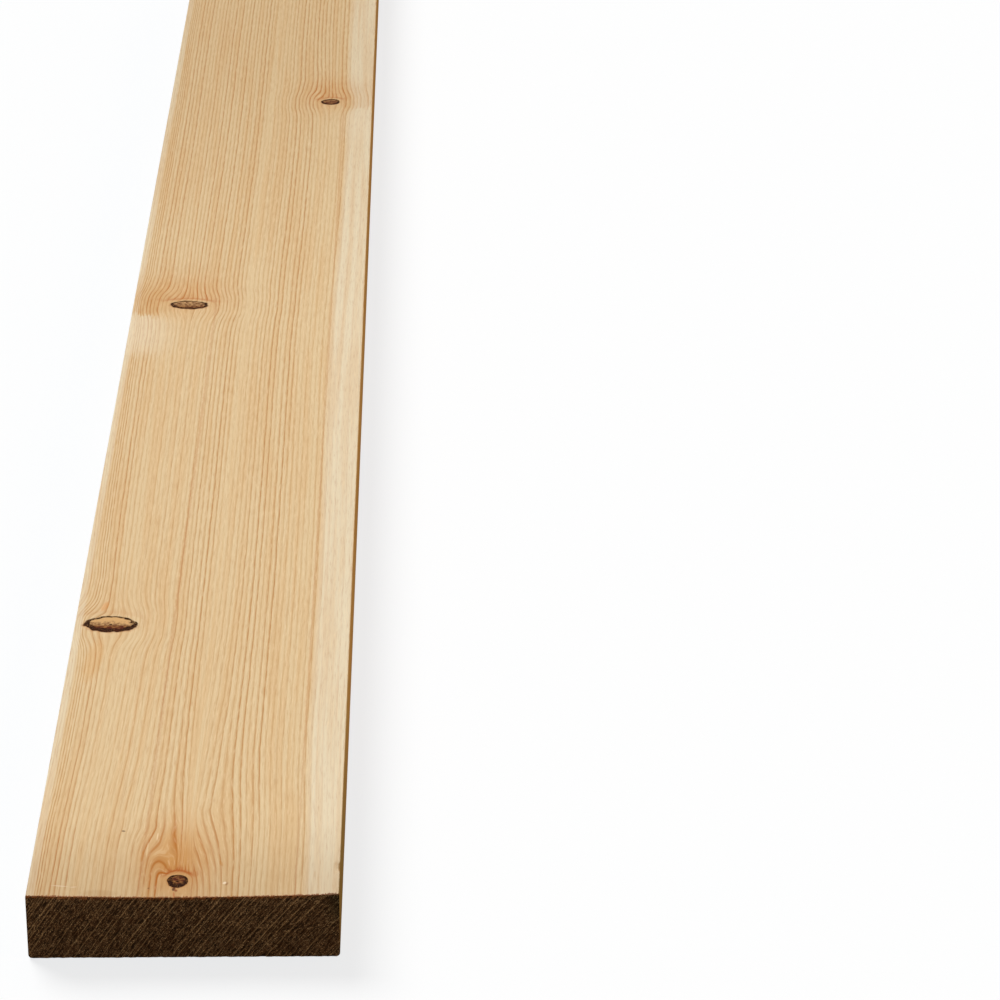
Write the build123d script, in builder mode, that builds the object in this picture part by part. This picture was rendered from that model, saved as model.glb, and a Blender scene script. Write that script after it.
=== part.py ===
from build123d import *
import os

# A planed softwood plank, sawn square to length, lying flat on its underside.
# Sizes are in millimetres: X runs across the width, Y along the grain and Z up.
# The origin is in the middle of the underside, so the two sawn ends face -Y and +Y.

# A standard planed section, in a standard sold length
width = 195.0
thickness = 45.0
length = 2400.0

# The plank cupped as it dried, so its top is hollow across the width.
# The thickness is measured at the two crests, beside the long edges.
cup_depth = 1.8

# The planer eased the long edges a little on top and more below
top_edge_radius = 1.0
bottom_edge_radius = 2.5

# Where the side, the eased edge and the hollow top meet
side_x = width / 2
crest_x = side_x - top_edge_radius
side_top_z = thickness - top_edge_radius

with BuildPart() as plank:
    with BuildSketch(Plane.XZ) as section:
        with BuildLine() as outline:
            underside = Line((-side_x, 0), (side_x, 0))
            right_side = Line(underside @ 1, (side_x, side_top_z))
            # Each eased edge starts along its side and ends level at its crest
            right_edge = TangentArc(right_side @ 1, (crest_x, thickness), tangent=right_side % 1)
            # One shallow arc from crest to crest makes the hollow top
            hollow_top = ThreePointArc(right_edge @ 1, (0, thickness - cup_depth), (-crest_x, thickness))
            left_side = Line(underside @ 0, (-side_x, side_top_z))
            left_edge = TangentArc(left_side @ 1, hollow_top @ 1, tangent=left_side % 1)
        make_face()
        bottom_corners = section.vertices().group_by(Axis.Y)[0]
        fillet(bottom_corners, radius=bottom_edge_radius)
    # Both ways from the middle, so the two ends are the same distance from the origin
    extrude(amount=length / 2, both=True)

plank.part.label = "plank"

os.makedirs("parts", exist_ok=True)
export_step(plank.part, "parts/plank.step")
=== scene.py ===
import math

import bpy
import numpy as np
from bpy.props import FloatProperty, FloatVectorProperty, IntProperty, PointerProperty
from mathutils import Matrix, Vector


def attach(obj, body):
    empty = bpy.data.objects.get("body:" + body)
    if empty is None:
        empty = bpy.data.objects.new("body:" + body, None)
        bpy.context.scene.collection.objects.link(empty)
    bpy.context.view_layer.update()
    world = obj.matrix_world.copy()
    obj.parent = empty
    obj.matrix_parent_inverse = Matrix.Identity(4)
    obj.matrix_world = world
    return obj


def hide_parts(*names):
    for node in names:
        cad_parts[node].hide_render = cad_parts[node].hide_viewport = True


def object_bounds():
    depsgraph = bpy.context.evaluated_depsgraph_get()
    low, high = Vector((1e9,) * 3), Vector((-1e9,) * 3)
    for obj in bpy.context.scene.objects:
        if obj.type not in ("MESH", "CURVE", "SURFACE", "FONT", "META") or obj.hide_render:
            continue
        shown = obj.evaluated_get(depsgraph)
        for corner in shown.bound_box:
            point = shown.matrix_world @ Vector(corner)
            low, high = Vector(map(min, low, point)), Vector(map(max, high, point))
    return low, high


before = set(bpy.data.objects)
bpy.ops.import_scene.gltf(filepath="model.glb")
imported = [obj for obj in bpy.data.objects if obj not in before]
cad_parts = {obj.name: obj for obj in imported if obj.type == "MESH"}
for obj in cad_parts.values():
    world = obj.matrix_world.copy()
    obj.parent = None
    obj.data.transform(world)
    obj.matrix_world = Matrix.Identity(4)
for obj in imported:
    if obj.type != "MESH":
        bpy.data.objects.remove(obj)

bl_info = {
    "name": "Planed pine plank",
    "version": (1, 0, 0),
    "blender": (4, 5, 0),
    "location": "3D View > Sidebar > Plank",
    "description": "Builds a planed pine plank with sawn ends, its grain and knots, and a plain studio",
    "category": "Add Mesh",
}

CAD_LOW, CAD_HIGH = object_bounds()
MM = 0.001

# Shape of the section, as the solid has it
HALF_WIDTH = CAD_HIGH.x
THICKNESS = CAD_HIGH.z
HALF_LENGTH = CAD_HIGH.y
TOP_EASE = 1.0 * MM
BOTTOM_EASE = 2.5 * MM
CUP = 1.8 * MM

# The small dent in the front right edge: its middle along the plank, half its length, how far
# from the corner it reaches, how deep it is sideways and downwards, and the stretch round it
# where the mesh has lines close together
DENT_MIDDLE = -1.1655
DENT_HALF_LENGTH = 0.0065
DENT_REACH = 0.004
DENT_SIDEWAYS = 0.0010
DENT_DOWN = 0.0009
DENT_LINES = (-1.176, -1.152)

# Starts of the random heights of the two sawn ends
FRONT_SEED = 11
BACK_SEED = 29

# The growth rings, in millimetres. Each is an arc about a line that lies this far to the right
# of the plank's middle and this far below its underside. Their depth is counted from one of
# these arcs and rises to the right. Before a certain depth they are narrower, and past another
# the wood is paler.
CENTRE_RIGHT = 620.0
CENTRE_BELOW = 460.0
ARC_RADIUS = 785.0
RING_WIDTH = 2.8
NARROW_BEFORE = -82.0
PALE_DEPTH = (40.5, 45.5)

# How much thinner a knot is for each millimetre down into the wood
KNOT_TAPER = 0.006

# Each knot: its middle on the top face; its lean as it goes down into the wood, sideways and
# along, per unit of height; its half width and half length on that face; how far it parts the
# rings to each side, over what width, and how far across and along that is felt; how far the
# rings are drawn down in the trough above it, and how wide the trough is beside the front
# knot's; how far they lean over on its right; how warm and how dark the wood about it is, and
# how far to its side; how light its heart is, and how much lighter at its far end; and how
# much bark is caught round it. Lengths are in millimetres.
KNOTS = {
    "front knot": dict(centre=(-4.0, -1179.5, 43.2), lean=(-0.51, 0.11, 0), half=(6.3, 8.0),
                       part=(7.0, 9.0), reach=(95.0, 120.0), draw=11.5, trough=1.0, swell=12.0,
                       warm=1.0, tone=0.0, side=-34.0, light=0.26, slope=-0.10, bark=0.24),
    "bark knot": dict(centre=(-72.0, -825.0, 44.0), lean=(-1.2, 0.15, 0), half=(17.6, 12.0),
                      part=(12.0, 17.0), reach=(32.0, 30.0), draw=4.0, trough=1.8, swell=0.0,
                      warm=0.12, tone=0.0, side=-14.0, light=0.60, slope=1.10, bark=0.17),
    "left knot": dict(centre=(-50.0, -226.0, 43.6), lean=(-1.2, 0.1, 0), half=(15.0, 9.0),
                      part=(7.0, 14.0), reach=(52.0, 28.0), draw=4.0, trough=1.5, swell=0.0,
                      warm=0.5, tone=1.0, side=-36.0, light=0.45, slope=0.2, bark=0.14),
    "right knot": dict(centre=(57.0, 292.0, 43.8), lean=(-0.6, 0.1, 0), half=(9.0, 8.0),
                       part=(5.5, 10.0), reach=(40.0, 26.0), draw=4.0, trough=1.2, swell=0.0,
                       warm=0.5, tone=0.5, side=32.0, light=0.35, slope=0.1, bark=0.16),
}

# Shifts the years so that their lines meet the front knot as they do on the real plank
RING_PHASE = 0.76

# Where on the plank a look begins and where it is full, in millimetres: X is across, Y along
# and Z up, and a distance from an end or from the top face counts from there
# The next two give the painted highlight along the left edge of the top
HIGHLIGHT_LEFT_X = (-91.0, -93.5)
HIGHLIGHT_TOP_Z = (40.0, 43.0)
RIGHT_SIDE_X = (97.0, 97.4)
FAINT_LINES_X = (-60.0, -85.0)
FAINT_LINES_Y = (-1120.0, -1080.0)
LEFT_RESIN_X = (-20.0, -50.0)
LEFT_RESIN_Y = (-1090.0, -1130.0)
LAST_LINES_Y = (-1200.0, -1182.0)
DARK_FROM_END = (110.0, 0.0)
# The next stretch is where a painted shade darkens the right side near the front
SIDE_SHADE_Y = (-860.0, -1160.0)
# The next stretch is where a painted shade darkens the far part of the plank
FAR_SHADE_Y = (-340.0, 520.0)
SMEAR_Y = (0.0, -100.0)
LOW_BAND_Z = (16.0, 2.0)
RUST_FROM_TOP = (2.4, 0.4)
RUST_X = (92.0, 66.0)
STAINED_CORNER_X = (86.0, 96.0)
STAINED_CORNER_Z = (14.0, 38.0)


def paint(red, green, blue):
    """A colour as a paint chart gives it, 0 to 255, turned into linear light."""
    def linear(value):
        value = value / 255
        return value / 12.92 if value <= 0.04045 else ((value + 0.055) / 1.055) ** 2.4
    return linear(red), linear(green), linear(blue)


# Small marks on the top face: middle, half width, half length, turn, strength and colour
MARKS = (
    ((-42.4, -1117.0, 43.5), 1.3, 1.0, 0.4, 0.75, paint(96, 66, 40)),
    ((-21.7, -1188.2, 43.4), 0.7, 1.0, 0.3, 0.60, paint(110, 76, 44)),
    ((22.2, -1158.0, 43.4), 1.0, 4.0, -0.25, 0.40, paint(190, 132, 52)),
    ((-28.3, -1149.0, 43.4), 0.9, 9.0, 0.05, 0.45, paint(186, 124, 48)),
    ((-25.6, -1140.0, 43.4), 0.6, 10.0, 0.0, 0.35, paint(244, 226, 190)),
    ((-20.2, -1124.0, 43.4), 0.5, 5.0, 0.0, 0.45, paint(246, 230, 198)),
    # A painted shadow on the right of the pale chip in the next line
    ((26.9, -1183.6, 43.4), 0.8, 2.0, 0.3, 0.60, paint(150, 108, 70)),
    ((25.4, -1182.2, 43.4), 1.1, 1.6, 0.3, 0.95, paint(246, 234, 212)),
    ((-78.3, -797.0, 44.4), 2.4, 8.0, 0.2, 0.34, paint(212, 130, 34)),
    ((-80.0, -880.0, 44.4), 6.5, 34.0, 0.08, 0.24, paint(206, 146, 58)),
    ((-52.0, -1195.0, 43.8), 12.0, 4.5, 0.0, 0.20, paint(150, 112, 66)),
    ((-77.0, -1186.6, 44.4), 5.5, 0.7, 0.12, 0.55, paint(240, 226, 202)),
    ((-68.5, -1187.6, 44.2), 2.2, 0.6, -0.2, 0.55, paint(240, 226, 202)),
    ((-6.0, -1189.0, 43.3), 1.1, 2.6, 0.12, 0.85, paint(84, 40, 20)),
    ((-4.6, -1191.0, 43.3), 1.1, 1.6, -0.5, 0.75, paint(146, 72, 38)),
    ((-5.4, -1196.8, 43.3), 0.6, 4.2, -0.1, 0.65, paint(190, 112, 72)),
)

# Shades laid on the wood in places
STREAK_SHADE = paint(206, 162, 104)
HALO_SHADE = paint(200, 140, 62)
# The next two are partly painted shade and sheen of the fibres that slope by a knot
DARK_PATCH = paint(194, 148, 82)
PALE_PATCH = paint(226, 215, 192)
DARK_FIBRE = paint(176, 122, 70)
PALE_FIBRE = paint(242, 224, 190)
RESIN_STAIN = paint(176, 104, 36)
BARK_CRUMB = paint(116, 82, 54)
TORN_EDGE = paint(122, 66, 32)
EDGE_SMEAR = paint(52, 34, 20)
END_LINE = paint(216, 190, 156)
END_SPECK = paint(250, 230, 200)
END_STREAK = paint(84, 52, 28)
END_RUST = paint(206, 130, 72)

# The share of red, green and blue that stays where the wood is darker
DEAD_HEART_SHARE = (1.0, 0.81, 0.52)
NEAR_END_SHARE = (0.84, 0.82, 0.80)
# A painted warm bounce light on the right side
WARM_BOUNCE_SHARE = (1.0, 0.89, 0.62)
# A painted shade on the right side near the front
SIDE_SHADE_SHARE = (0.58, 0.66, 0.66)
# A painted shade far along the plank
FAR_SHADE_SHARE = (0.875, 0.855, 0.825)
CORNER_SHARE = (0.55, 0.66, 0.66)

# The shine of the two finishes, and the height of their relief in metres
PLANED_SHINE = 0.07
PLANED_RELIEF = 0.00008
END_SHINE = 0.1
END_RELIEF = 0.0006

# The floor reaches far, because other views of the plank stand far back. It lies a little low,
# so that it doesn't touch the underside.
FLOOR_REACH = 60.0
FLOOR_DROP = 0.0003

# The tints of the lamps, how far their light spreads, and their turns about X and Y, in degrees
KEY_TINT = (1.0, 0.985, 0.96)
KEY_SPREAD = 32
KEY_TURNS = (-38, -30)
FILL_TINT = (1.0, 0.48, 0.08)
FILL_SPREAD = 60
FILL_TURNS = (0, 72)

# The room as it is seen and as it lights the plank, the glow that keeps the floor pale and its
# share of the floor's look, and what the floor throws back on the plank
ROOM_SEEN = (0.98, 0.98, 0.98, 1)
ROOM_TINT = (1.0, 0.85, 0.62, 1)
FLOOR_GLOW = 1.02
GLOW_SHARE = 0.78
FLOOR_BOUNCE = (0.22, 0.17, 0.11, 1)

# The camera stands in front of the plank, a little to its right, and looks down along it.
# Its turns are down, to the right and round, in degrees.
CAMERA_PLACE = (0.1616, -3.3015, 1.2971)
CAMERA_TURNS = (25.04, 0.96, 0.16)
CAMERA_LENS = 140.89
SENSOR_WIDTH = 36.0


# Settings

class PlankShape(bpy.types.PropertyGroup):
    """Sizes of the sawn and planed surfaces."""
    tear_depth: FloatProperty(
        name="Tear depth", description="How deep the saw tore the fibres of the ends",
        default=0.0009, min=0, max=0.003, unit="LENGTH", subtype="DISTANCE")
    tear_pitch: FloatProperty(
        name="Tear pitch", description="Usual distance between two torn fibre bundles",
        default=0.0014, min=0.0004, max=0.01, unit="LENGTH", subtype="DISTANCE")
    points_across: IntProperty(
        name="Points across", description="Mesh points across the width of an end", default=190, min=20)
    points_up: IntProperty(
        name="Points up", description="Mesh points up the thickness of an end", default=48, min=8)


class PineColours(bpy.types.PropertyGroup):
    """Colours of the wood."""
    early: FloatVectorProperty(
        name="Early wood", description="Light wood between the lines of the rings", subtype="COLOR",
        default=paint(218, 199, 163), min=0, max=1)
    pale: FloatVectorProperty(
        name="Pale wood", description="Paler wood along the right edge", subtype="COLOR",
        default=paint(223, 214, 191), min=0, max=1)
    late: FloatVectorProperty(
        name="Late wood", description="Darker line that ends each year's ring", subtype="COLOR",
        default=paint(174, 115, 30), min=0, max=1)
    crown: FloatVectorProperty(
        name="Crown", description="Resin-rich wood above a knot", subtype="COLOR",
        default=paint(176, 92, 30), min=0, max=1)
    resin: FloatVectorProperty(
        name="Resin", description="Late wood close to a knot", subtype="COLOR",
        default=paint(180, 102, 14), min=0, max=1)
    bark: FloatVectorProperty(
        name="Bark", description="Bark caught round a knot", subtype="COLOR",
        default=paint(44, 19, 5), min=0, max=1)
    knot_dark: FloatVectorProperty(
        name="Dark knot", description="Heart of a dead knot", subtype="COLOR",
        default=paint(84, 34, 4), min=0, max=1)
    knot_light: FloatVectorProperty(
        name="Light knot", description="Heart of a sound knot", subtype="COLOR",
        default=paint(208, 170, 118), min=0, max=1)
    # The dark of the hollows is partly the end grain's own colour, partly painted shade
    end_dark: FloatVectorProperty(
        name="End, dark", description="Hollows between the torn fibres of a sawn end", subtype="COLOR",
        default=paint(51, 38, 31), min=0, max=1)
    end_light: FloatVectorProperty(
        name="End, light", description="Tips of the torn fibres of a sawn end", subtype="COLOR",
        default=paint(138, 109, 86), min=0, max=1)


class StudioSettings(bpy.types.PropertyGroup):
    """Light and floor."""
    key: FloatProperty(
        name="Key light", description="Strength of the soft light from behind on the left",
        default=3.6, min=0)
    fill: FloatProperty(
        name="Warm fill", description="Strength of the warm light low on the right", default=0.95, min=0)
    sky: FloatProperty(
        name="Room light", description="Strength of the even light from all round", default=0.22, min=0)
    floor: FloatVectorProperty(
        name="Floor", description="Colour of the pale floor", subtype="COLOR",
        default=(0.955, 0.976, 1.0), min=0, max=1)


# Writing nodes

def lay(tree, kind, inputs=(), output=0, **settings):
    """Adds a node, sets its settings and fills its inputs, from a dict or in order.
    Another node's output is linked, anything else is set. Returns one of its outputs."""
    made = tree.nodes.new(kind)
    for name, value in settings.items():
        setattr(made, name, value)
    for key, value in (inputs.items() if isinstance(inputs, dict) else enumerate(inputs)):
        if isinstance(value, bpy.types.NodeSocket):
            tree.links.new(value, made.inputs[key])
        else:
            made.inputs[key].default_value = value
    return made.outputs[output]


class Sums:
    """Writes arithmetic into one node tree, so that a formula reads as a formula."""

    def __init__(self, tree):
        self.tree = tree

    def __call__(self, operation, *values):
        return lay(self.tree, "ShaderNodeMath", values, operation=operation)

    def add(self, *values):
        """The sum of all the values."""
        total = values[0]
        for value in values[1:]:
            total = self("ADD", total, value)
        return total

    def times(self, *values):
        """The product of all the values."""
        total = values[0]
        for value in values[1:]:
            total = self("MULTIPLY", total, value)
        return total

    def less(self, a, b):
        """The first value less the second."""
        return self("SUBTRACT", a, b)

    def over(self, a, b):
        """The first value over the second."""
        return self("DIVIDE", a, b)

    def most(self, *values):
        """The largest of the values."""
        largest = values[0]
        for value in values[1:]:
            largest = self("MAXIMUM", largest, value)
        return largest

    def bell(self, value, middle, width):
        """One at the middle, falling off as e to the minus square of the distance in widths."""
        distance = self.over(self.less(value, middle), width)
        return self("EXPONENT", self.times(distance, distance, -1.0))

    def fade(self, value, width):
        """e to the minus value over width."""
        return self("EXPONENT", self.over(self.times(value, -1.0), width))

    def step(self, value, low, high, to_low=0.0, to_high=1.0):
        """Rises smoothly from to_low to to_high while the value goes from low to high."""
        return lay(self.tree, "ShaderNodeMapRange", (value, low, high, to_low, to_high),
                   interpolation_type="SMOOTHSTEP")

    def noise(self, vector, scale, detail=2.0, rough=0.5):
        """Smooth noise from 0 to 1, with so many patches to each unit of the vector."""
        return lay(self.tree, "ShaderNodeTexNoise",
                   {"Vector": vector, "Scale": scale, "Detail": detail, "Roughness": rough})

    def swing(self, vector, scale, reach, detail=1.0):
        """Noise that swings about zero, to about plus and minus reach."""
        return self.times(self.less(self.noise(vector, scale, detail), 0.5), 2.0 * reach)

    def split(self, vector):
        """The three parts of a vector."""
        made = self.tree.nodes.new("ShaderNodeSeparateXYZ")
        self.tree.links.new(vector, made.inputs[0])
        return tuple(made.outputs)

    def join(self, x, y, z):
        """A vector from its three parts."""
        return lay(self.tree, "ShaderNodeCombineXYZ", (x, y, z))

    def stretch(self, vector, x, y, z):
        """A vector with each part multiplied by its own number."""
        return lay(self.tree, "ShaderNodeVectorMath", (vector, (x, y, z)), operation="MULTIPLY")

    def ramp(self, value, *stops):
        """Straight runs between (place, height) stops."""
        made = self.tree.nodes.new("ShaderNodeValToRGB")
        self.tree.links.new(value, made.inputs[0])
        ends = made.color_ramp.elements
        while len(ends) < len(stops):
            ends.new(0.5)
        for end, (place, height) in zip(ends, stops):
            end.position = place
            end.color = (height, height, height, 1)
        return made.outputs[0]

    def tint(self, factor, under, over, blend="MIX"):
        """The colour over laid on the colour under, by factor."""
        def full(colour):
            return (*colour, 1) if isinstance(colour, tuple) and len(colour) == 3 else colour
        return lay(self.tree, "ShaderNodeMix", {0: factor, 6: full(under), 7: full(over)}, output=2,
                   data_type="RGBA", blend_type=blend, clamp_factor=True)


def empty_nodes(owner):
    """Switches on the nodes of a material or world and takes them all out."""
    owner.use_nodes = True
    owner.node_tree.nodes.clear()
    return owner.node_tree


def group(name, takes, gives):
    """An empty node group with these inputs, given as (name, kind, start value), and outputs."""
    tree = bpy.data.node_groups.new(name, "ShaderNodeTree")
    for label, kind, start in takes:
        socket = tree.interface.new_socket(label, in_out="INPUT", socket_type="NodeSocket" + kind)
        if start is not None:
            socket.default_value = start
    for label, kind in gives:
        tree.interface.new_socket(label, in_out="OUTPUT", socket_type="NodeSocket" + kind)
    entry = tree.nodes.new("NodeGroupInput")
    leave = tree.nodes.new("NodeGroupOutput")
    return tree, entry.outputs, leave.inputs


def place(tree, made, inputs):
    """Places a node group in a tree, fills its inputs by name and returns its outputs."""
    node = tree.nodes.new("ShaderNodeGroup")
    node.node_tree = made
    for key, value in inputs.items():
        if isinstance(value, bpy.types.NodeSocket):
            tree.links.new(value, node.inputs[key])
        else:
            node.inputs[key].default_value = value
    return node.outputs


def hand_out(tree, leave, **values):
    """Links each value to the group's output of that name, with a space for an underscore."""
    for label, value in values.items():
        tree.links.new(value, leave[label.replace("_", " ")])


# Node groups of the wood

def make_knot_group():
    """How one knot sits in the wood and pushes the grain aside. In the horizontal section through
    a point, u and v are the distances across and along from the knot's axis, in millimetres.
    The rings part round the knot by the hyperbolic tangent of u over the part width. Above it
    they are drawn down in a trough that is steep on the right and widens on the left as it
    goes, and further to the right they lean over in a swelling. Each of these is a product of
    bell curves and smooth steps."""
    tree, take, give = group(
        "Knot in the grain",
        (("Position", "Vector", None), ("Wobble", "Float", 0.0), ("Streaks", "Float", 0.5),
         ("Centre", "Vector", None), ("Lean", "Vector", None),
         ("Half width", "Float", 6.5), ("Half length", "Float", 8.2),
         ("Part", "Float", 7.0), ("Part width", "Float", 9.0),
         ("Reach across", "Float", 95.0), ("Reach along", "Float", 120.0),
         ("Draw", "Float", 10.0), ("Trough", "Float", 1.0), ("Swell", "Float", 0.0),
         ("Warm", "Float", 1.0), ("Tone", "Float", 0.0), ("Side", "Float", -34.0),
         ("Light", "Float", 0.3), ("Slope", "Float", 0.0), ("Bark", "Float", 0.2)),
        (("Push", "Float"), ("Crown", "Float"), ("Halo", "Float"), ("Rim", "Float"),
         ("Core", "Float"), ("Light", "Float"), ("Tone", "Float"), ("Stain", "Float"),
         ("Thin", "Float")))
    s = Sums(tree)
    px, py, pz = s.split(take["Position"])
    cx, cy, cz = s.split(take["Centre"])
    lx, ly, _ = s.split(take["Lean"])
    wide, tall = take["Half width"], take["Half length"]
    down = s.less(pz, cz)
    u = s.less(s.less(px, cx), s.times(lx, down))
    v = s.less(s.less(py, cy), s.times(ly, down))
    taper = s.add(1.0, s.times(down, KNOT_TAPER))
    a, b = s.over(s.over(u, wide), taper), s.over(s.over(v, tall), taper)
    reach = s.add(s("SQRT", s.add(s.times(a, a), s.times(b, b))), take["Wobble"])

    along = s("POWER", s.over(s("ABSOLUTE", v), take["Reach along"]), 4.0)
    aside = s.over(s.times(s("TANH", s.over(u, take["Part width"])), take["Part"],
                           s.bell(u, 0.0, take["Reach across"])), s.add(1.0, along))
    above = s.add(s.less(v, tall), 8.0)
    off = s.add(u, s.times(take["Trough"], 4.0))
    widen = s.add(4.5, s.times(above, s.add(0.12, s.times(above, 0.0022))))
    left_flank = s("MINIMUM", s.most(widen, 5.5), 22.0)
    flank = s.times(s.step(off, -0.01, 0.01, left_flank, 6.5), take["Trough"])
    trough = s.times(s.bell(off, 0.0, flank), s.step(above, 0.0, 16.0), s.step(above, 22.0, 62.0, 1.0, 0.76),
                     s.fade(s.most(s.less(above, 70.0), 0.0), 90.0), take["Draw"])
    swell = s.times(s.step(v, -20.0, 90.0), s.step(u, 1.5, 8.0), s.bell(u, 9.0, 18.5),
                    s.fade(s.most(s.less(v, 90.0), 0.0), 110.0), take["Swell"])
    push = s.less(s.less(swell, aside), trough)
    # The rings that crowd between the trough and the swelling are faint
    thin = s.times(s.bell(u, 3.6, 4.2), s.step(v, 10.0, 24.0), s.times(take["Swell"], 0.07))
    # Beside the knot and before it, the wood next to the bark is plain
    upper = s.most(b, 0.0)
    beside = s.add(s("SQRT", s.add(s.times(a, a), s.times(upper, upper))), s.times(take["Wobble"], 0.5))
    thin = s.most(thin, s.times(s.step(beside, 1.66, 1.40), take["Warm"], 0.9))

    # A red band over the knot, drawn out upwards into thin tongues
    tongue = s.step(take["Streaks"], 0.42, 0.70, 0.10, 0.65)
    beyond = s.less(reach, 1.66)
    band = s.times(s.bell(s("MINIMUM", beyond, 0.0), 0.0, 0.24), s.fade(s.most(beyond, 0.0), tongue),
                   s.step(b, 0.35, 1.3), take["Warm"])
    halo = s.times(s.bell(u, -3.0, s.add(wide, 17.0)), s.bell(s.less(v, tall), 14.0, 48.0), take["Warm"])

    # The bark is thick at the near left and thin on the far side
    bias = s.over(s.add(s.times(a, -0.2), s.times(b, -0.95)), s.most(reach, 0.3))
    far = s("SQRT", s.add(s.times(u, u), s.times(v, v), 0.1))
    thick = s.over(s.times(tall, s.most(reach, 0.3)), far)
    inner = s.less(1.0, s.times(take["Bark"], thick, s.add(1.15, s.times(bias, 0.85))))
    rim = s.times(s.step(reach, s.less(inner, s.times(thick, 0.16)), s.less(inner, s.times(thick, 0.02))),
                  s.step(reach, 1.07, 1.0))
    core = s.step(reach, 1.07, 1.0)
    light = s.times(core, s.add(take["Light"], s.times(b, take["Slope"])))
    # The wood is darker where it slopes over a knot, and paler before it: partly its own tone, partly a
    # painted shade and sheen of the sloping fibres
    inwards = s.less(u, take["Side"])
    soft = s.add(5.0, s.times(s("ABSOLUTE", inwards), 0.9))
    ragged = s.add(v, s.times(s.less(take["Streaks"], 0.5), 30.0))
    begun = s.step(ragged, s.less(-24.0, soft), s.add(-24.0, soft))
    dark = s.times(begun, s.step(ragged, 80.0, 5.0))
    pale = s.times(s.step(ragged, -130.0, -80.0), s.less(1.0, begun))
    tone = s.times(s.less(dark, pale), s.bell(inwards, 0.0, 22.0), take["Tone"])
    # A thin resin line close round the right of the knot, and a stain next to the bark
    stain = s.most(s.times(s.bell(beside, 1.47, 0.07), s.step(a, 0.35, 0.8), take["Warm"], 0.8),
                   s.times(s.bell(reach, 1.03, 0.10), s.step(bias, -0.4, 0.6), 0.7))
    hand_out(tree, give, Push=push, Crown=band, Halo=halo, Rim=rim, Core=core, Light=light, Tone=tone,
             Stain=stain, Thin=thin)
    return tree


def make_ring_group():
    """Growth rings: the distance from a far line, bent by the push of the knots, with years
    of uneven width. Each ring is pale, darkens smoothly, then ends sharply."""
    tree, take, give = group(
        "Growth rings",
        (("Position", "Vector", None), ("Push", "Float", 0.0), ("Unrest", "Float", 0.0)),
        (("Late wood", "Float"), ("Depth", "Float"), ("Across", "Float")))
    s = Sums(tree)
    x, y, z = s.split(take["Position"])
    drift = s.swing(s.stretch(take["Position"], 0.6, 0.35, 0.6), 0.005, 4.5, 0.0)
    ripple = s.times(s.swing(s.stretch(take["Position"], 0.8, 0.22, 0.8), 0.13, 0.45, 1.0),
                     s.add(1.0, s.times(take["Unrest"], 1.2)))
    across = s.add(x, take["Push"], drift, ripple)
    ax, az = s.less(across, CENTRE_RIGHT), s.add(z, CENTRE_BELOW)
    depth = s.less(ARC_RADIUS, s("SQRT", s.add(s.times(ax, ax), s.times(az, az))))
    uneven = lay(tree, "ShaderNodeTexNoise", {"W": depth, "Scale": 0.13, "Detail": 1.0},
                 noise_dimensions="1D")
    # The rings at the left edge are narrow
    narrow = s.times(s.most(s.less(NARROW_BEFORE, depth), 0.0), -0.75)
    counted = s.add(depth, s.times(s.less(uneven, 0.5), 1.3), narrow)
    years = s.add(s.over(counted, RING_WIDTH), RING_PHASE)
    part = s("FRACT", years)
    year = lay(tree, "ShaderNodeTexWhiteNoise", {"W": s("FLOOR", years)}, noise_dimensions="1D")
    line = s.ramp(part, (0.0, 0.35), (0.10, 0.04), (0.45, 0.0), (0.72, 0.45), (0.86, 1.0),
                  (0.95, 0.95), (1.0, 0.35))
    late = s.times(line, s.step(year, 0.0, 1.0, 0.5, 1.0))
    hand_out(tree, give, Late_wood=late, Depth=depth, Across=across)
    return tree


def make_mark_group():
    """One small mark: an oval with a soft edge, turned by an angle, on the top face only."""
    tree, take, give = group(
        "Small mark",
        (("Position", "Vector", None), ("Wobble", "Float", 0.0), ("Centre", "Vector", None),
         ("Half width", "Float", 1.0), ("Half length", "Float", 1.0), ("Turn", "Float", 0.0)),
        (("Mark", "Float"),))
    s = Sums(tree)
    off = lay(tree, "ShaderNodeVectorMath", (take["Position"], take["Centre"]), operation="SUBTRACT")
    turned = lay(tree, "ShaderNodeVectorRotate", {"Vector": off, "Angle": take["Turn"]},
                 rotation_type="Z_AXIS")
    x, y, z = s.split(turned)
    a, b = s.over(x, take["Half width"]), s.over(y, take["Half length"])
    reach = s.add(s.add(s.times(a, a), s.times(b, b)), take["Wobble"])
    mark = s.times(s.step(reach, 1.5, 0.2), s.step(z, -3.0, -2.0))
    hand_out(tree, give, Mark=mark)
    return tree


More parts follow.
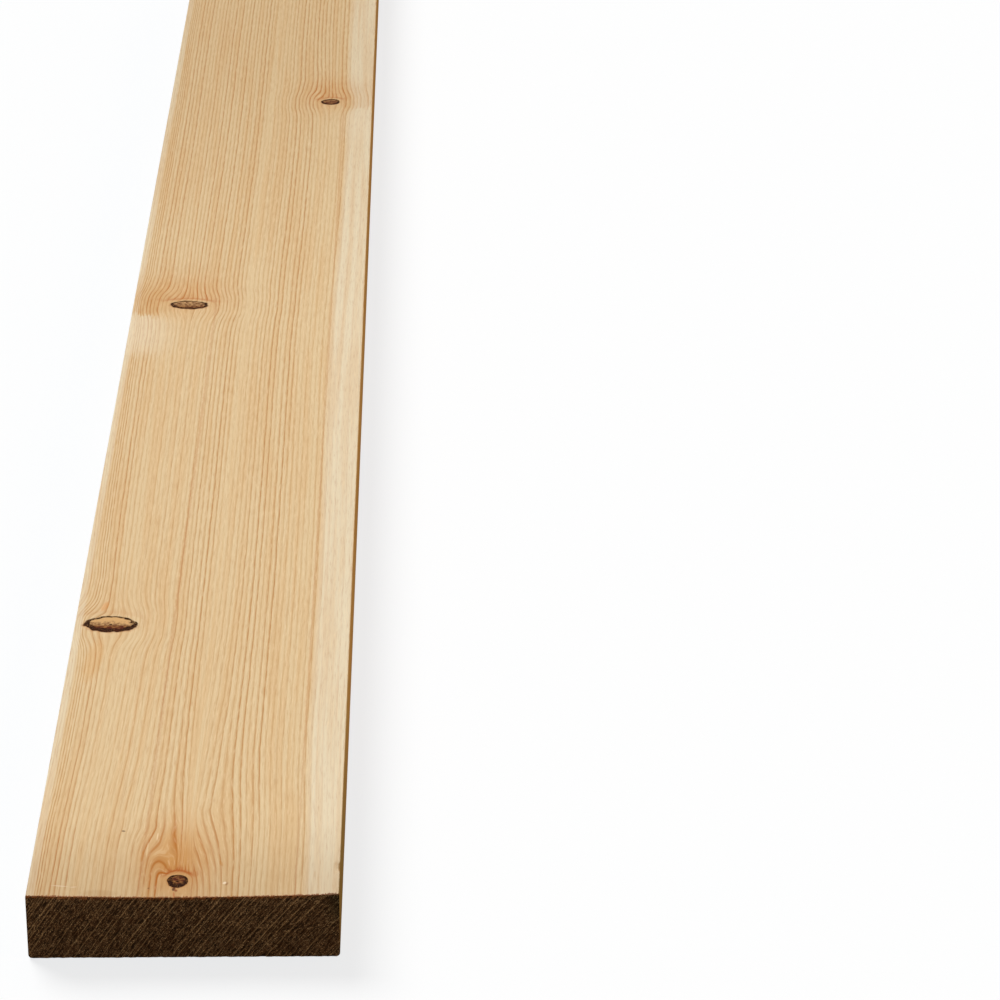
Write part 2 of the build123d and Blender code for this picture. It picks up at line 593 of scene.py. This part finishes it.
def make_wood_group(knot_group, ring_group):
    """The whole plank's figure at a point given in millimetres: rings, knots and fibres."""
    tree, take, give = group(
        "Pine figure", (("Position", "Vector", None), ("Bend", "Float", 1.0)),
        (("Late wood", "Float"), ("Depth", "Float"), ("Crown", "Float"), ("Halo", "Float"),
         ("Rim", "Float"), ("Core", "Float"), ("Light", "Float"), ("Tone", "Float"),
         ("Stain", "Float"), ("Fibre", "Float"), ("Streak", "Float"), ("Blotch", "Float")))
    s = Sums(tree)
    blotch = s.noise(take["Position"], 0.42, 3.0, 0.62)
    wobble = s.times(s.less(s.noise(take["Position"], 0.17, 1.0), 0.5), 0.32)
    streaks = s.noise(s.stretch(take["Position"], 0.75, 0.10, 0.75), 1.0, 2.0, 0.6)
    found = [
        place(tree, knot_group, {
            "Position": take["Position"], "Wobble": wobble, "Streaks": streaks,
            "Centre": knot["centre"], "Lean": knot["lean"], "Half width": knot["half"][0],
            "Half length": knot["half"][1], "Part": knot["part"][0], "Part width": knot["part"][1],
            "Reach across": knot["reach"][0], "Reach along": knot["reach"][1], "Draw": knot["draw"],
            "Trough": knot["trough"], "Swell": knot["swell"], "Warm": knot["warm"], "Tone": knot["tone"],
            "Side": knot["side"], "Light": knot["light"], "Slope": knot["slope"],
            "Bark": knot["bark"]})
        for knot in KNOTS.values()]
    push = s.times(s.add(*(knot["Push"] for knot in found)), take["Bend"])
    crown, halo, rim, core, stain, thin = (
        s.most(*(knot[part] for knot in found))
        for part in ("Crown", "Halo", "Rim", "Core", "Stain", "Thin"))
    rings = place(tree, ring_group, {"Position": take["Position"], "Push": push,
                                     "Unrest": s.times(halo, take["Bend"])})
    tone, light = (s.add(*(knot[part] for knot in found)) for part in ("Tone", "Light"))
    # Fibres run with the grain, so their noise is read where the rings are
    _, y, z = s.split(take["Position"])
    bent = s.join(rings["Across"], y, z)
    fibre = s.noise(s.stretch(bent, 1.5, 0.06, 1.5), 1.0, 2.0, 0.65)
    streak = s.noise(s.stretch(bent, 0.20, 0.004, 0.20), 1.0, 2.0, 0.55)
    late = s.times(rings["Late wood"], s.less(1.0, s.times(thin, take["Bend"])))
    hand_out(tree, give, Late_wood=late, Depth=rings["Depth"], Crown=crown, Halo=halo, Rim=rim,
             Core=core, Light=light, Tone=tone, Stain=stain, Fibre=fibre, Streak=streak,
             Blotch=blotch)
    return tree


# Materials

def start_material(name):
    """A material with a shader and the point's place on the plank in millimetres."""
    material = bpy.data.materials.new(name)
    tree = empty_nodes(material)
    shader = tree.nodes.new("ShaderNodeBsdfPrincipled")
    out = tree.nodes.new("ShaderNodeOutputMaterial")
    tree.links.new(shader.outputs[0], out.inputs["Surface"])
    where = tree.nodes.new("ShaderNodeTexCoord")
    place_mm = lay(tree, "ShaderNodeVectorMath", (where.outputs["Object"], (1000, 1000, 1000)),
                   operation="MULTIPLY")
    return material, tree, shader, place_mm


def set_bump(tree, shader, height, distance):
    """Gives the shader a relief. A height of 1 stands this distance, in metres, above 0."""
    bump = lay(tree, "ShaderNodeBump", {"Strength": 1.0, "Distance": distance, "Height": height})
    tree.links.new(bump, shader.inputs["Normal"])


def colour(value):
    """A colour setting as plain numbers."""
    return tuple(value)


def grain_colour(s, where, wood, on_side, pine):
    """The pale wood with its rings, fibres and resin, a painted highlight along the left edge, and darker
    and paler patches by the knots that are partly painted shade and sheen.
    """
    x, y, z = s.split(where)
    pale = s.step(s.add(wood["Depth"], s.times(wood["Streak"], 3.0)), *PALE_DEPTH)
    # A painted highlight: the wood is painted paler along the left edge of the top, where the edge catches
    # the light
    edge_highlight = s.times(s.step(x, *HIGHLIGHT_LEFT_X), s.step(z, *HIGHLIGHT_TOP_Z))
    pale = s.most(pale, s.times(edge_highlight, 0.8))

    base = s.tint(pale, colour(pine.early), colour(pine.pale))
    base = s.tint(s.step(wood["Streak"], 0.40, 0.66, 0.0, 0.26), base, STREAK_SHADE)
    base = s.tint(s.times(wood["Halo"], 0.76), base, HALO_SHADE)
    # The patches before and behind a knot hardly show on the right side
    tone = s.times(wood["Tone"], s.step(on_side, 0.0, 1.0, 1.0, 0.2))
    # These darker and paler patches are partly the wood's own tone, partly painted shade and sheen
    base = s.tint(s.times(tone, 0.34), base, DARK_PATCH)
    base = s.tint(s.times(tone, -0.72), base, PALE_PATCH)
    # The lines are fainter towards the left edge, behind the front knot
    weak = s.times(s.step(x, *FAINT_LINES_X), s.step(y, *FAINT_LINES_Y))
    # They are fainter in the pale wood too, less so on the side
    faint = s.times(pale, s.step(on_side, 0.0, 1.0, 1.0, 0.62))
    line = s.times(wood["Late wood"], s.step(faint, 0.0, 1.0, 0.76, 0.15), s.less(1.0, s.times(weak, 0.12)),
                   s.step(tone, -0.9, 0.0, 0.45, 1.0), s.step(wood["Fibre"], 0.30, 0.55, 0.7, 1.0))
    base = s.tint(line, base, colour(pine.late))
    # The lines hold more resin close to a knot, and a little along the left, most at the front
    left_lines = s.times(s.step(x, *LEFT_RESIN_X), s.step(y, *LEFT_RESIN_Y, 0.16, 0.42))
    close = s.most(s.step(wood["Halo"], 0.03, 0.50, 0.0, 0.90), s.times(tone, 0.66), left_lines)
    near = s.times(s("POWER", wood["Late wood"], 1.5), close, s.step(y, *LAST_LINES_Y, 0.5, 1.0))
    base = s.tint(near, base, colour(pine.resin))
    base = s.tint(s.step(wood["Fibre"], 0.52, 0.72, 0.0, 0.28), base, DARK_FIBRE)
    base = s.tint(s.step(wood["Fibre"], 0.48, 0.28, 0.0, 0.28), base, PALE_FIBRE)
    base = s.tint(s.times(wood["Crown"], 0.90), base, colour(pine.crown))
    return s.tint(s.times(wood["Stain"], 0.70), base, RESIN_STAIN)


def add_knots(s, where, wood, base, pine):
    """Lays the blotched hearts of the knots and the crumbling bark round them on the wood."""
    patches = s.add(wood["Light"], s.times(s.less(wood["Blotch"], 0.5), 2.2))
    heart = s.tint(s("POWER", s("MAXIMUM", patches, 0.0), 1.5), colour(pine.knot_dark),
                   colour(pine.knot_light))
    # The heart of a dead knot is redder than that of a sound one
    heart = s.tint(s.step(wood["Light"], 0.5, 0.3), heart, DEAD_HEART_SHARE, "MULTIPLY")
    base = s.tint(wood["Core"], base, heart)
    crumbs = s.noise(where, 1.1, 1.0)
    bark = s.tint(s.step(crumbs, 0.56, 0.70, 0.0, 0.75), colour(pine.bark), BARK_CRUMB)
    gaps = s.step(s.add(wood["Blotch"], s.times(crumbs, 0.5)), 0.90, 0.76, 0.55, 1.0)
    return s.tint(s.times(wood["Rim"], gaps), base, bark)


def add_marks(tree, s, where, mark_group, base):
    """Lays the small marks on the wood."""
    wobble = s.swing(where, 0.9, 0.35, 1.0)
    for centre, wide, tall, turn, amount, shade in MARKS:
        spot = place(tree, mark_group, {"Position": where, "Wobble": wobble, "Centre": centre,
                                        "Half width": wide, "Half length": tall, "Turn": turn})
        base = s.tint(s.times(spot["Mark"], amount), base, shade)
    return base


def add_wear_and_painted_light(s, where, on_side, base):
    """Darkens the wood towards the ends and tears its last millimetre, and paints light and shade on it: a
    warm bounce light on the right side, a shade there near the front, and a shade far along."""
    x, y, _ = s.split(where)
    to_end = s.less(HALF_LENGTH / MM, s("ABSOLUTE", y))
    base = s.tint(s.step(to_end, *DARK_FROM_END), base, NEAR_END_SHARE, "MULTIPLY")
    # The right side is painted a little warmer than the top, a painted warm bounce light, and darker near
    # the front, a painted shade
    base = s.tint(on_side, base, WARM_BOUNCE_SHARE, "MULTIPLY")
    base = s.tint(s.times(on_side, s.step(y, *SIDE_SHADE_Y)), base, SIDE_SHADE_SHARE, "MULTIPLY")
    # Far along, the wood is darker: a painted shade, weaker on the right side
    far = s.times(s.step(y, *FAR_SHADE_Y), s.step(on_side, 0.0, 1.0, 1.0, 0.5))
    base = s.tint(far, base, FAR_SHADE_SHARE, "MULTIPLY")
    ragged = s.noise(s.stretch(where, 1.1, 0.25, 1.1), 1.0, 2.0, 0.6)
    smear = s.times(s.bell(x, 94.0, 5.0), s.step(y, *SMEAR_Y), 0.5)
    fringe = s.step(s.less(to_end, s.add(s.times(ragged, 5.0), smear)), -0.6, -1.5)
    return s.tint(s.times(fringe, 0.88), base, s.tint(smear, TORN_EDGE, EDGE_SMEAR))


def make_planed_face(wood_group, mark_group, pine):
    """Planed faces: pale wood with rings, knots, fibres, small marks and a torn brown edge."""
    material, tree, shader, where = start_material("planed_face")
    s = Sums(tree)
    wood = place(tree, wood_group, {"Position": where})
    on_side = s.step(s.split(where)[0], *RIGHT_SIDE_X)
    base = grain_colour(s, where, wood, on_side, pine)
    base = add_knots(s, where, wood, base, pine)
    base = add_marks(tree, s, where, mark_group, base)
    base = add_wear_and_painted_light(s, where, on_side, base)
    tree.links.new(base, shader.inputs["Base Color"])
    rough = s.add(s.step(wood["Late wood"], 0.0, 1.0, 0.70, 0.60), s.times(wood["Rim"], 0.2))
    tree.links.new(rough, shader.inputs["Roughness"])
    shader.inputs["Specular IOR Level"].default_value = PLANED_SHINE
    relief = s.noise(s.stretch(where, 2.2, 0.05, 2.2), 1.0, 2.0, 0.6)
    set_bump(tree, shader, relief, PLANED_RELIEF)
    return material


def make_sawn_end(wood_group, pine):
    """Sawn ends: rough brown end grain, with the rings as lines of slightly lighter fibres."""
    material, tree, shader, where = start_material("sawn_end")
    s = Sums(tree)
    # The rings cross the ends straight, though the grain is bent at the front knot nearby
    wood = place(tree, wood_group, {"Position": where, "Bend": 0.0})
    # Torn fibres lie in short rows along the rings, which lean to the right up the end
    x, y, z = s.split(where)
    rows = s.join(wood["Depth"], y, s.times(s.add(s.times(x, 0.6), s.times(z, 0.8)), 0.2))
    coarse = s.noise(s.stretch(rows, 1.6, 0.7, 1.2), 1.0, 2.0, 0.7)
    fine = s.noise(where, 1.5, 2.0, 0.7)
    speck = s.add(s.times(coarse, 0.5), s.times(fine, 0.5))
    # The hollows between the torn fibres are darker than the tips: partly the end grain's own colour, partly
    # painted shade in the hollows
    tips = s.step(s.add(speck, s.step(z, *LOW_BAND_Z, 0.0, 0.02)), 0.43, 0.60)
    base = s.tint(tips, colour(pine.end_dark), colour(pine.end_light))
    line = s.times(s("POWER", wood["Late wood"], 2.6), s.step(speck, 0.38, 0.54, 0.40, 1.0))
    base = s.tint(line, base, END_LINE)
    bright = s.times(s.step(fine, 0.56, 0.65), s.step(coarse, 0.46, 0.58), 0.95)
    base = s.tint(bright, base, END_SPECK)
    base = s.tint(s.step(wood["Streak"], 0.45, 0.65, 0.0, 0.30), base, END_STREAK)
    # Reddish fibres are torn up along the top edge, close under the hollow face
    bow = s.times(x, x, (CUP / MM) / (HALF_WIDTH / MM) ** 2)
    below = s.less(s.add(bow, (THICKNESS - CUP) / MM), z)
    rust = s.times(s.step(below, *RUST_FROM_TOP), s.step(speck, 0.42, 0.58, 0.10, 0.90),
                   s.step(s.noise(where, 0.30, 1.0), 0.36, 0.60, 0.30, 1.0), s.step(x, *RUST_X, 0.2, 1.0))
    base = s.tint(rust, base, END_RUST)
    # The upper right corner is stained
    stain = s.times(s.step(x, *STAINED_CORNER_X), s.step(z, *STAINED_CORNER_Z))
    base = s.tint(stain, base, CORNER_SHARE, "MULTIPLY")
    tree.links.new(base, shader.inputs["Base Color"])
    tree.links.new(s.step(speck, 0.3, 0.7, 0.96, 0.82), shader.inputs["Roughness"])
    shader.inputs["Specular IOR Level"].default_value = END_SHINE
    set_bump(tree, shader, speck, END_RELIEF)
    return material


# The plank's mesh

def lattice(x, z, pitch, seed):
    """Smooth random numbers from 0 to 1: random values on a square lattice of this pitch,
    blended between its corners with the curve 3t squared minus 2t cubed."""
    rows, columns = 61, 67
    table = np.random.default_rng(seed).random((rows, columns))
    gx, gz = x / pitch, z / pitch
    ix, iz = np.floor(gx).astype(int), np.floor(gz).astype(int)
    tx, tz = gx - ix, gz - iz
    tx, tz = tx * tx * (3 - 2 * tx), tz * tz * (3 - 2 * tz)

    def at(i, k):
        return table[i % rows, k % columns]

    low = at(ix, iz) * (1 - tx) + at(ix + 1, iz) * tx
    high = at(ix, iz + 1) * (1 - tx) + at(ix + 1, iz + 1) * tx
    return low * (1 - tz) + high * tz


def arc(centre_x, centre_z, radius, start, end, count):
    """Points on a circle from one angle to another, in degrees, both ends included."""
    angle = np.radians(np.linspace(start, end, count))
    return np.stack([centre_x + radius * np.cos(angle), centre_z + radius * np.sin(angle)], 1)


def section_sides(across, up):
    """The section's outline as four runs that share their corners: bottom and top from left to
    right, left and right from bottom to top. Each corner is halfway round an eased edge.
    The top is an arc of a circle through both crests, sunk by the cup in the middle."""
    # Points on half an eased edge
    ease = 4
    low_x, low_z = HALF_WIDTH - BOTTOM_EASE, BOTTOM_EASE
    high_x, high_z = HALF_WIDTH - TOP_EASE, THICKNESS - TOP_EASE

    def run(*parts):
        return np.concatenate([part if i == 0 else part[1:] for i, part in enumerate(parts)])

    flat_x = np.linspace(-low_x, low_x, across - 2 * ease + 2)
    bottom = run(arc(-low_x, low_z, BOTTOM_EASE, 225, 270, ease),
                 np.stack([flat_x, np.zeros_like(flat_x)], 1),
                 arc(low_x, low_z, BOTTOM_EASE, 270, 315, ease))
    radius = (high_x ** 2 + CUP ** 2) / (2 * CUP)
    crest_x = np.linspace(-high_x, high_x, across - 2 * ease + 2)
    hollow = THICKNESS - CUP + radius - np.sqrt(radius ** 2 - crest_x ** 2)
    top = run(arc(-high_x, high_z, TOP_EASE, 135, 90, ease),
              np.stack([crest_x, hollow], 1),
              arc(high_x, high_z, TOP_EASE, 90, 45, ease))
    rise = np.linspace(low_z, high_z, up - 2 * ease + 2)
    right = run(arc(low_x, low_z, BOTTOM_EASE, -45, 0, ease),
                np.stack([np.full_like(rise, HALF_WIDTH), rise], 1),
                arc(high_x, high_z, TOP_EASE, 0, 45, ease))
    left = right * (-1, 1)
    return bottom, top, left, right


def stations():
    """Places along the plank: close together near the ends, where the saw tore the edges, and
    near the dent in the front right edge, and further apart between."""
    gaps = np.geomspace(0.5, 9.0, 17)
    near = HALF_LENGTH - np.cumsum(np.concatenate([[0], gaps])) * MM
    dent = np.linspace(*DENT_LINES, 17)
    middle = np.linspace(-near[-1], near[-1], 58)[1:-1]
    # No other line of the front comes within a millimetre of those round the dent
    front = -near
    front = front[(front < dent[0] - MM) | (front > dent[-1] + MM)]
    return np.unique(np.concatenate([front, dent, middle, near]))


def plank_mesh(shape):
    """One closed mesh. The outline is carried along the length, and each end is a grid between
    the outline's four runs: the sum of the two straight blends between opposite runs, less the
    blend of the four corners. The ends are pushed in by random heights, up to the
    tear depth, and the outline near them follows, so the sawn edge is ragged."""
    across, up = shape.points_across, shape.points_up
    bottom, top, left, right = section_sides(across, up)
    s = np.linspace(0, 1, across)[None, :, None]
    t = np.linspace(0, 1, up)[:, None, None]
    patch = ((1 - t) * bottom[None] + t * top[None] + (1 - s) * left[:, None] + s * right[:, None]
             - (1 - s) * (1 - t) * bottom[0] - s * (1 - t) * bottom[-1]
             - (1 - s) * t * top[0] - s * t * top[-1])

    # The outline, once round: along the bottom, up the right, back along the top, down the left
    row, col = np.divmod(np.arange(up * across).reshape(up, across), across)
    ring = np.concatenate([np.stack([row[0, :], col[0, :]], 1), np.stack([row[1:, -1], col[1:, -1]], 1),
                           np.stack([row[-1, -2::-1], col[-1, -2::-1]], 1),
                           np.stack([row[-2:0:-1, 0], col[-2:0:-1, 0]], 1)])
    outline = patch[ring[:, 0], ring[:, 1]]
    around = len(outline)
    y = stations()
    count = len(y)

    def tear(x, z, seed):
        """The sum of small, larger and largest bundles of fibres, given as (share, size)."""
        heights = 0.0
        for i, (share, size) in enumerate(((0.50, 1.0), (0.30, 2.7), (0.20, 9.0))):
            heights = heights + share * lattice(x, z, shape.tear_pitch * size, seed + i)
        return shape.tear_depth * heights

    front_tear = tear(patch[..., 0], patch[..., 1], FRONT_SEED)
    back_tear = tear(patch[..., 0], patch[..., 1], BACK_SEED)
    front_rim = front_tear[ring[:, 0], ring[:, 1]]
    back_rim = back_tear[ring[:, 0], ring[:, 1]]

    body = np.empty((count, around, 3))
    body[..., 0] = outline[None, :, 0]
    body[..., 2] = outline[None, :, 1]
    from_front = (y + HALF_LENGTH)[:, None]
    from_back = (HALF_LENGTH - y)[:, None]
    # The outline follows the torn end for about a millimetre
    follow = 1.2 * MM
    body[..., 1] = (y[:, None] + front_rim[None] * np.exp(-from_front / follow)
                    - back_rim[None] * np.exp(-from_back / follow))

    # The dent in the front right edge: a soft bite out of the corner, deepest in its middle
    bite = np.clip(1 - ((body[..., 1] - DENT_MIDDLE) / DENT_HALF_LENGTH) ** 2, 0, None)
    off_corner = np.hypot(body[..., 0] - HALF_WIDTH, body[..., 2] - THICKNESS)
    corner = np.clip(1 - off_corner / DENT_REACH, 0, None)
    body[..., 0] -= DENT_SIDEWAYS * bite * corner
    body[..., 2] -= DENT_DOWN * bite * corner

    faces_per_end = (up - 1) * (across - 1)
    inner = patch[1:-1, 1:-1].reshape(-1, 2)
    front = np.stack([inner[:, 0], -HALF_LENGTH + front_tear[1:-1, 1:-1].ravel(), inner[:, 1]], 1)
    back = np.stack([inner[:, 0], HALF_LENGTH - back_tear[1:-1, 1:-1].ravel(), inner[:, 1]], 1)
    points = np.concatenate([body.reshape(-1, 3), front, back])

    station, step = np.meshgrid(np.arange(count - 1), np.arange(around), indexing="ij")
    ahead = (step + 1) % around
    sides = np.stack([station * around + step, (station + 1) * around + step,
                      (station + 1) * around + ahead, station * around + ahead], -1).reshape(-1, 4)

    def end_faces(first_ring, first_inner, outward):
        index = np.empty((up, across), int)
        index[1:-1, 1:-1] = first_inner + np.arange((up - 2) * (across - 2)).reshape(up - 2, across - 2)
        index[ring[:, 0], ring[:, 1]] = first_ring + np.arange(around)
        quads = np.stack([index[:-1, :-1], index[:-1, 1:], index[1:, 1:], index[1:, :-1]], -1)
        return quads.reshape(-1, 4)[:, ::outward]

    first = count * around
    quads = np.concatenate([sides, end_faces(0, first, 1),
                            end_faces((count - 1) * around, first + len(front), -1)])

    mesh = bpy.data.meshes.new("plank_timber")
    mesh.from_pydata(points, [], quads)
    mesh.shade_smooth()
    # The planed faces have the first material and the ends the second, with a sharp edge between
    kind = np.zeros(len(quads), np.int32)
    kind[-2 * faces_per_end:] = 1
    mesh.polygons.foreach_set("material_index", kind)
    ends = np.empty(len(mesh.edges) * 2, np.int32)
    mesh.edges.foreach_get("vertices", ends)
    ends = ends.reshape(-1, 2)
    on_rim = (ends < around) | ((ends >= (count - 1) * around) & (ends < count * around))
    sharp = mesh.attributes.new("sharp_edge", "BOOLEAN", "EDGE")
    sharp.data.foreach_set("value", on_rim.all(1))
    mesh.validate()
    mesh.update()
    return mesh


class PLANK_OT_timber(bpy.types.Operator):
    """Build the plank with its planed faces and sawn ends"""
    bl_idname = "plank.timber"
    bl_label = "Plank"

    def execute(self, context):
        scene = context.scene
        plank = bpy.data.objects.new("plank_timber", plank_mesh(scene.plank_shape))
        scene.collection.objects.link(plank)
        wood_group = make_wood_group(make_knot_group(), make_ring_group())
        plank.data.materials.append(make_planed_face(wood_group, make_mark_group(), scene.pine_colours))
        plank.data.materials.append(make_sawn_end(wood_group, scene.pine_colours))
        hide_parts("plank")
        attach(plank, "root")
        return {"FINISHED"}


# Stage

def aim(pitch, yaw, roll):
    """Turns a camera to look along +Y, then down by pitch, right by yaw and round by roll."""
    p, w, r = map(math.radians, (pitch, yaw, roll))
    forward = np.array([math.sin(w) * math.cos(p), math.cos(w) * math.cos(p), -math.sin(p)])
    level = np.array([math.cos(w), -math.sin(w), 0])
    upright = np.cross(level, forward)
    right = math.cos(r) * level + math.sin(r) * upright
    up = -math.sin(r) * level + math.cos(r) * upright
    return Matrix(np.stack([right, up, -forward], 1).tolist()).to_euler()


def finish_nodes(tree, kind, seen, thrown):
    """Shows one shader to the camera, and lets the other throw light on the plank."""
    path = lay(tree, "ShaderNodeLightPath", output="Is Camera Ray")
    both = lay(tree, "ShaderNodeMixShader", (path, thrown, seen))
    tree.links.new(both, tree.nodes.new(kind).inputs["Surface"])


def hang_lamp(scene, name, strength, spread, tint, turns):
    """A far, soft lamp. Its spread and its turns about X and Y are in degrees."""
    lamp = bpy.data.lights.new(name, "SUN")
    lamp.energy = strength
    lamp.angle = math.radians(spread)
    lamp.color = tint
    hung = bpy.data.objects.new(name, lamp)
    hung.rotation_euler = (*map(math.radians, turns), 0)
    scene.collection.objects.link(hung)


class PLANK_OT_stage(bpy.types.Operator):
    """Build the pale floor, the soft lights and the camera"""
    bl_idname = "plank.stage"
    bl_label = "Studio"

    def execute(self, context):
        scene = context.scene
        studio = scene.studio_settings
        self.lay_floor(scene, studio)
        hang_lamp(scene, "key_light", studio.key, KEY_SPREAD, KEY_TINT, KEY_TURNS)
        hang_lamp(scene, "warm_fill", studio.fill, FILL_SPREAD, FILL_TINT, FILL_TURNS)
        scene.world = self.room(studio)
        scene.view_settings.view_transform = "Standard"

        eye = bpy.data.cameras.new("camera")
        eye.sensor_width = SENSOR_WIDTH
        eye.lens = CAMERA_LENS
        camera = bpy.data.objects.new("camera", eye)
        camera.location = CAMERA_PLACE
        camera.rotation_euler = aim(*CAMERA_TURNS)
        scene.collection.objects.link(camera)
        scene.camera = camera
        return {"FINISHED"}

    def lay_floor(self, scene, studio):
        """A level square under the plank."""
        corners = [(x * FLOOR_REACH, y * FLOOR_REACH, -FLOOR_DROP)
                   for x, y in ((-1, -1), (1, -1), (1, 1), (-1, 1))]
        mesh = bpy.data.meshes.new("floor")
        mesh.from_pydata(corners, [], [(0, 1, 2, 3)])
        mesh.materials.append(self.floor_material(studio))
        floor = bpy.data.objects.new("floor", mesh)
        scene.collection.objects.link(floor)

    def room(self, studio):
        """A white room that throws a soft, warm light."""
        world = bpy.data.worlds.new("room")
        tree = empty_nodes(world)
        seen = lay(tree, "ShaderNodeBackground", {"Color": ROOM_SEEN, "Strength": 1.0})
        soft = lay(tree, "ShaderNodeBackground", {"Color": ROOM_TINT, "Strength": studio.sky})
        finish_nodes(tree, "ShaderNodeOutputWorld", seen, soft)
        return world

    def floor_material(self, studio):
        """Pale where it is seen, with a soft shadow, and less bright where it only throws light back."""
        material = bpy.data.materials.new("pale_floor")
        tree = empty_nodes(material)
        matt = lay(tree, "ShaderNodeBsdfDiffuse", {"Color": (*studio.floor, 1)})
        glow = lay(tree, "ShaderNodeEmission", {"Color": (*studio.floor, 1), "Strength": FLOOR_GLOW})
        shown = lay(tree, "ShaderNodeMixShader", (GLOW_SHARE, matt, glow))
        bounce = lay(tree, "ShaderNodeBsdfDiffuse", {"Color": FLOOR_BOUNCE})
        finish_nodes(tree, "ShaderNodeOutputMaterial", shown, bounce)
        return material


class PLANK_PT_panel(bpy.types.Panel):
    """Lists the steps that build the plank"""
    bl_idname = "PLANK_PT_panel"
    bl_label = "Plank"
    bl_space_type = "VIEW_3D"
    bl_region_type = "UI"
    bl_category = "Plank"

    def draw(self, context):
        layout = self.layout
        for operator in (PLANK_OT_timber, PLANK_OT_stage):
            layout.operator(operator.bl_idname)
        for owner in (context.scene.plank_shape, context.scene.pine_colours, context.scene.studio_settings):
            box = layout.box()
            for name in owner.__annotations__:
                box.prop(owner, name)


CLASSES = (PlankShape, PineColours, StudioSettings, PLANK_OT_timber, PLANK_OT_stage, PLANK_PT_panel)


def register():
    """Adds the operators, the panel and the settings."""
    for made in CLASSES:
        bpy.utils.register_class(made)
    bpy.types.Scene.plank_shape = PointerProperty(type=PlankShape)
    bpy.types.Scene.pine_colours = PointerProperty(type=PineColours)
    bpy.types.Scene.studio_settings = PointerProperty(type=StudioSettings)


def unregister():
    """Takes them out again."""
    del bpy.types.Scene.studio_settings
    del bpy.types.Scene.pine_colours
    del bpy.types.Scene.plank_shape
    for made in reversed(CLASSES):
        bpy.utils.unregister_class(made)


def main():
    """Builds the plank and the studio."""
    register()
    bpy.ops.plank.timber()
    bpy.ops.plank.stage()


if __name__ == "__main__":
    main()
